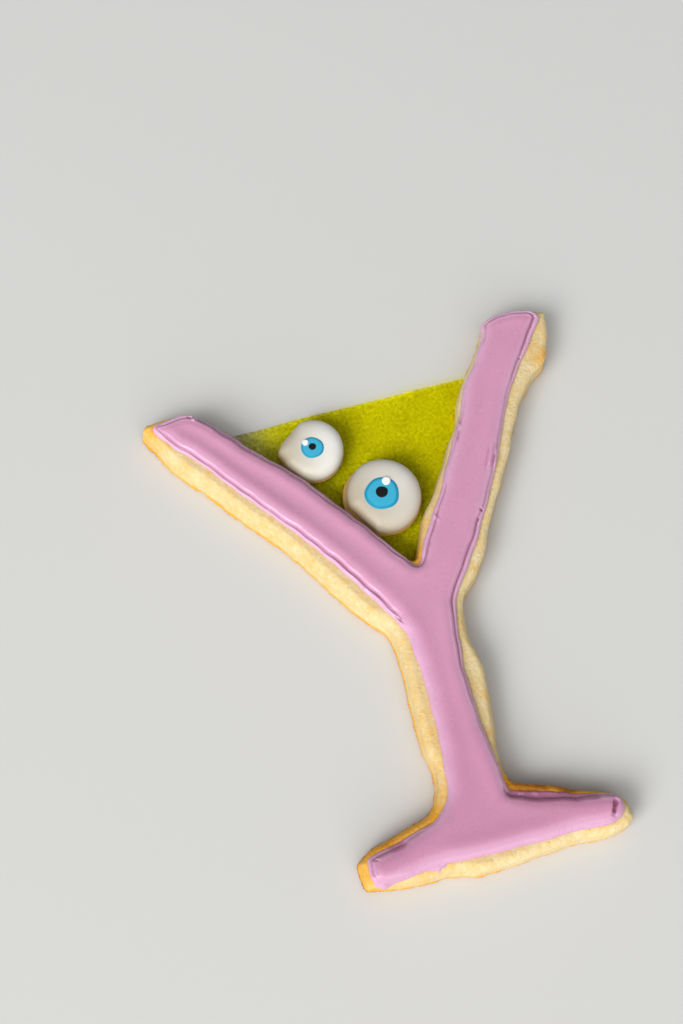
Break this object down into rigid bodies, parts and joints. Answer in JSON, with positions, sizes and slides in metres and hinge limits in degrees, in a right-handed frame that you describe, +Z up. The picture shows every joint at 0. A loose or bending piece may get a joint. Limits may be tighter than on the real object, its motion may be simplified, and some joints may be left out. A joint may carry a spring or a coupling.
{
  "type": "iced sugar cookie",
  "caption": "Sugar cookie cut as a cocktail glass, with mauve royal icing, a clear lime candy drink in its bowl and candy eyes.",
  "frame": {"origin": "middle of the underside of the whole cookie's box, on the surface it lies on", "axes": "+Y along the glass's stem from foot to rim, +Z up out of the iced face, +X to the right of the glass"},
  "size_m": [0.1064, 0.1314, 0.0094],
  "materials": {
    "baked_dough": "baked crumb, pale cream with browned edges",
    "mauve_icing": "smooth satin royal icing",
    "lime_candy": "clear poured hard candy",
    "white_icing": "ivory icing with a soft gloss",
    "blue_icing": "sky blue icing with a darker rim",
    "black_icing": "black icing",
    "glint_icing": "bright white icing"
  },
  "bodies": {
    "root": {"cookie": "baked_dough", "icing": "mauve_icing", "candy_drink": "lime_candy", "small_eye_white": "white_icing", "small_eye_iris": "blue_icing", "small_eye_pupil": "black_icing", "small_eye_glint": "glint_icing", "large_eye_white": "white_icing", "large_eye_iris": "blue_icing", "large_eye_pupil": "black_icing", "large_eye_glint": "glint_icing"}
  },
  "joints": []
}
